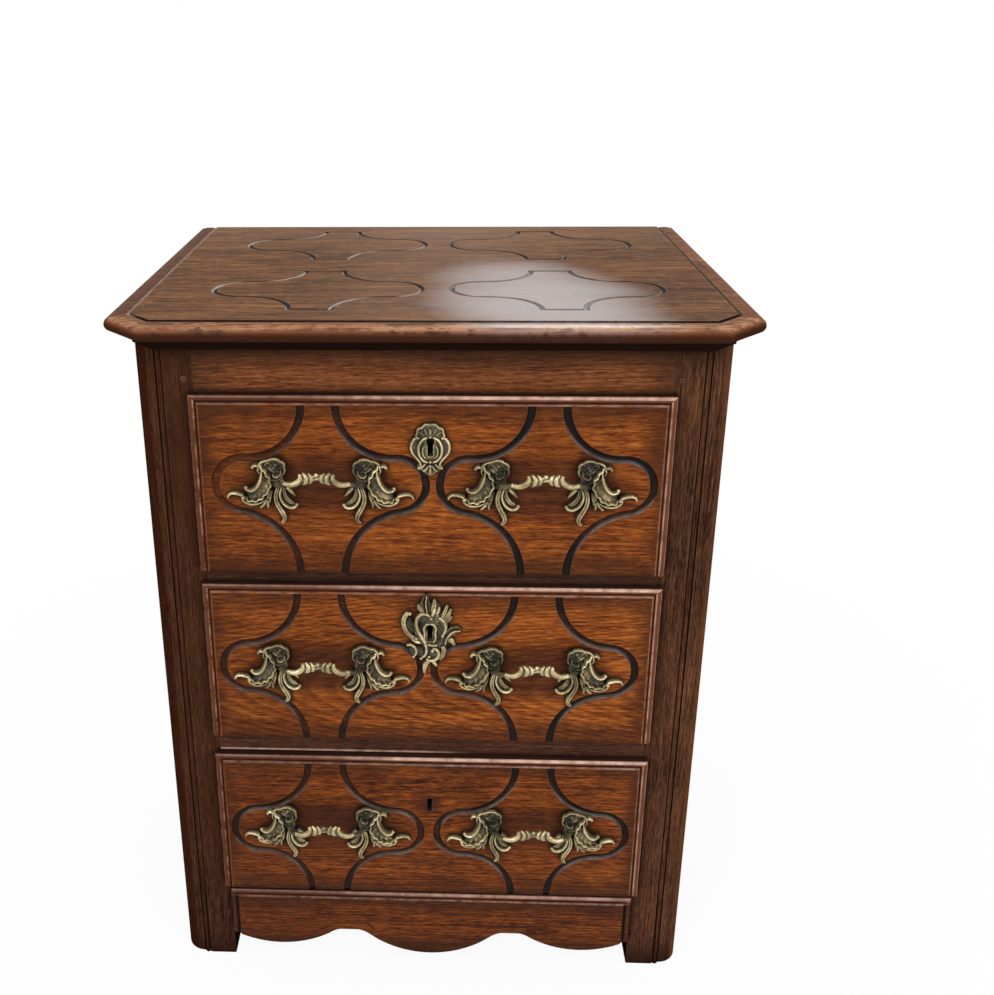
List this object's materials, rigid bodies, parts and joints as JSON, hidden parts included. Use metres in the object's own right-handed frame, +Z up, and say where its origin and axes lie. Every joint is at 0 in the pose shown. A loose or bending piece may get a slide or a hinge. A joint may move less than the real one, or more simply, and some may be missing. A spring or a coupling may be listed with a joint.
{
  "type": "commode",
  "caption": "Small oak commode with lipped drawers, carved cartouche lines, a shaped apron, cast brass pulls, escutcheons and working drawer locks.",
  "frame": {"origin": "on the floor, under the middle of the box around the whole commode", "axes": "+X to the right seen from the front, -Y to the front, +Z up"},
  "size_m": [0.691, 0.5462, 0.864],
  "materials": {
    "carcass_oak": "dark waxed oak, worn lighter on the beads",
    "drawer_oak": "waxed oak, red-brown with dark grime in the carving",
    "lining_oak": "plain dry oak",
    "peg_oak": "end grain oak",
    "brass": "aged cast brass, dark in the recesses",
    "iron": "black forged iron"
  },
  "bodies": {
    "carcass": {"top_board": "carcass_oak", "front_post_right": "carcass_oak", "front_post_left": "carcass_oak", "rear_post_right": "carcass_oak", "rear_post_left": "carcass_oak", "frieze_rail": "carcass_oak", "upper_divider": "carcass_oak", "lower_divider": "carcass_oak", "apron": "carcass_oak", "side_panel_right": "carcass_oak", "side_panel_left": "carcass_oak", "side_top_rail_right": "carcass_oak", "side_top_rail_left": "carcass_oak", "side_bottom_rail_right": "carcass_oak", "side_bottom_rail_left": "carcass_oak", "back_top_rail": "carcass_oak", "back_bottom_rail": "carcass_oak", "back_boards": "lining_oak", "frame_pegs": "peg_oak", "upper_runners": "lining_oak", "middle_runners": "lining_oak", "lower_runners": "lining_oak", "drawer_guides": "lining_oak", "kickers": "lining_oak"},
    "upper_drawer": {"upper_drawer_front": "drawer_oak", "upper_drawer_side_right": "lining_oak", "upper_drawer_side_left": "lining_oak", "upper_drawer_back": "lining_oak", "upper_drawer_bottom": "lining_oak", "upper_pull_right": "brass", "upper_pull_left": "brass", "upper_pull_nuts": "iron", "upper_lock_case": "iron", "upper_lock_screws": "iron", "upper_escutcheon": "brass"},
    "upper_bolt": {"upper_lock_bolt": "iron"},
    "middle_drawer": {"middle_drawer_front": "drawer_oak", "middle_drawer_side_right": "lining_oak", "middle_drawer_side_left": "lining_oak", "middle_drawer_back": "lining_oak", "middle_drawer_bottom": "lining_oak", "middle_pull_right": "brass", "middle_pull_left": "brass", "middle_pull_nuts": "iron", "middle_lock_case": "iron", "middle_lock_screws": "iron", "middle_escutcheon": "brass"},
    "middle_bolt": {"middle_lock_bolt": "iron"},
    "lower_drawer": {"lower_drawer_front": "drawer_oak", "lower_drawer_side_right": "lining_oak", "lower_drawer_side_left": "lining_oak", "lower_drawer_back": "lining_oak", "lower_drawer_bottom": "lining_oak", "lower_pull_right": "brass", "lower_pull_left": "brass", "lower_pull_nuts": "iron", "lower_lock_case": "iron", "lower_lock_screws": "iron"},
    "lower_bolt": {"lower_lock_bolt": "iron"}
  },
  "joints": [
    {"name": "upper_drawer_slide", "type": "slide", "parent": "carcass", "child": "upper_drawer", "axis": [0, -1, 0], "range_m": [0, 0.33]},
    {"name": "upper_bolt_throw", "type": "slide", "parent": "upper_drawer", "child": "upper_bolt", "axis": [0, 0, 1], "range_m": [0, 0.009]},
    {"name": "middle_drawer_slide", "type": "slide", "parent": "carcass", "child": "middle_drawer", "axis": [0, -1, 0], "range_m": [0, 0.33]},
    {"name": "middle_bolt_throw", "type": "slide", "parent": "middle_drawer", "child": "middle_bolt", "axis": [0, 0, 1], "range_m": [0, 0.009]},
    {"name": "lower_drawer_slide", "type": "slide", "parent": "carcass", "child": "lower_drawer", "axis": [0, -1, 0], "range_m": [0, 0.33]},
    {"name": "lower_bolt_throw", "type": "slide", "parent": "lower_drawer", "child": "lower_bolt", "axis": [0, 0, 1], "range_m": [0, 0.009]}
  ]
}
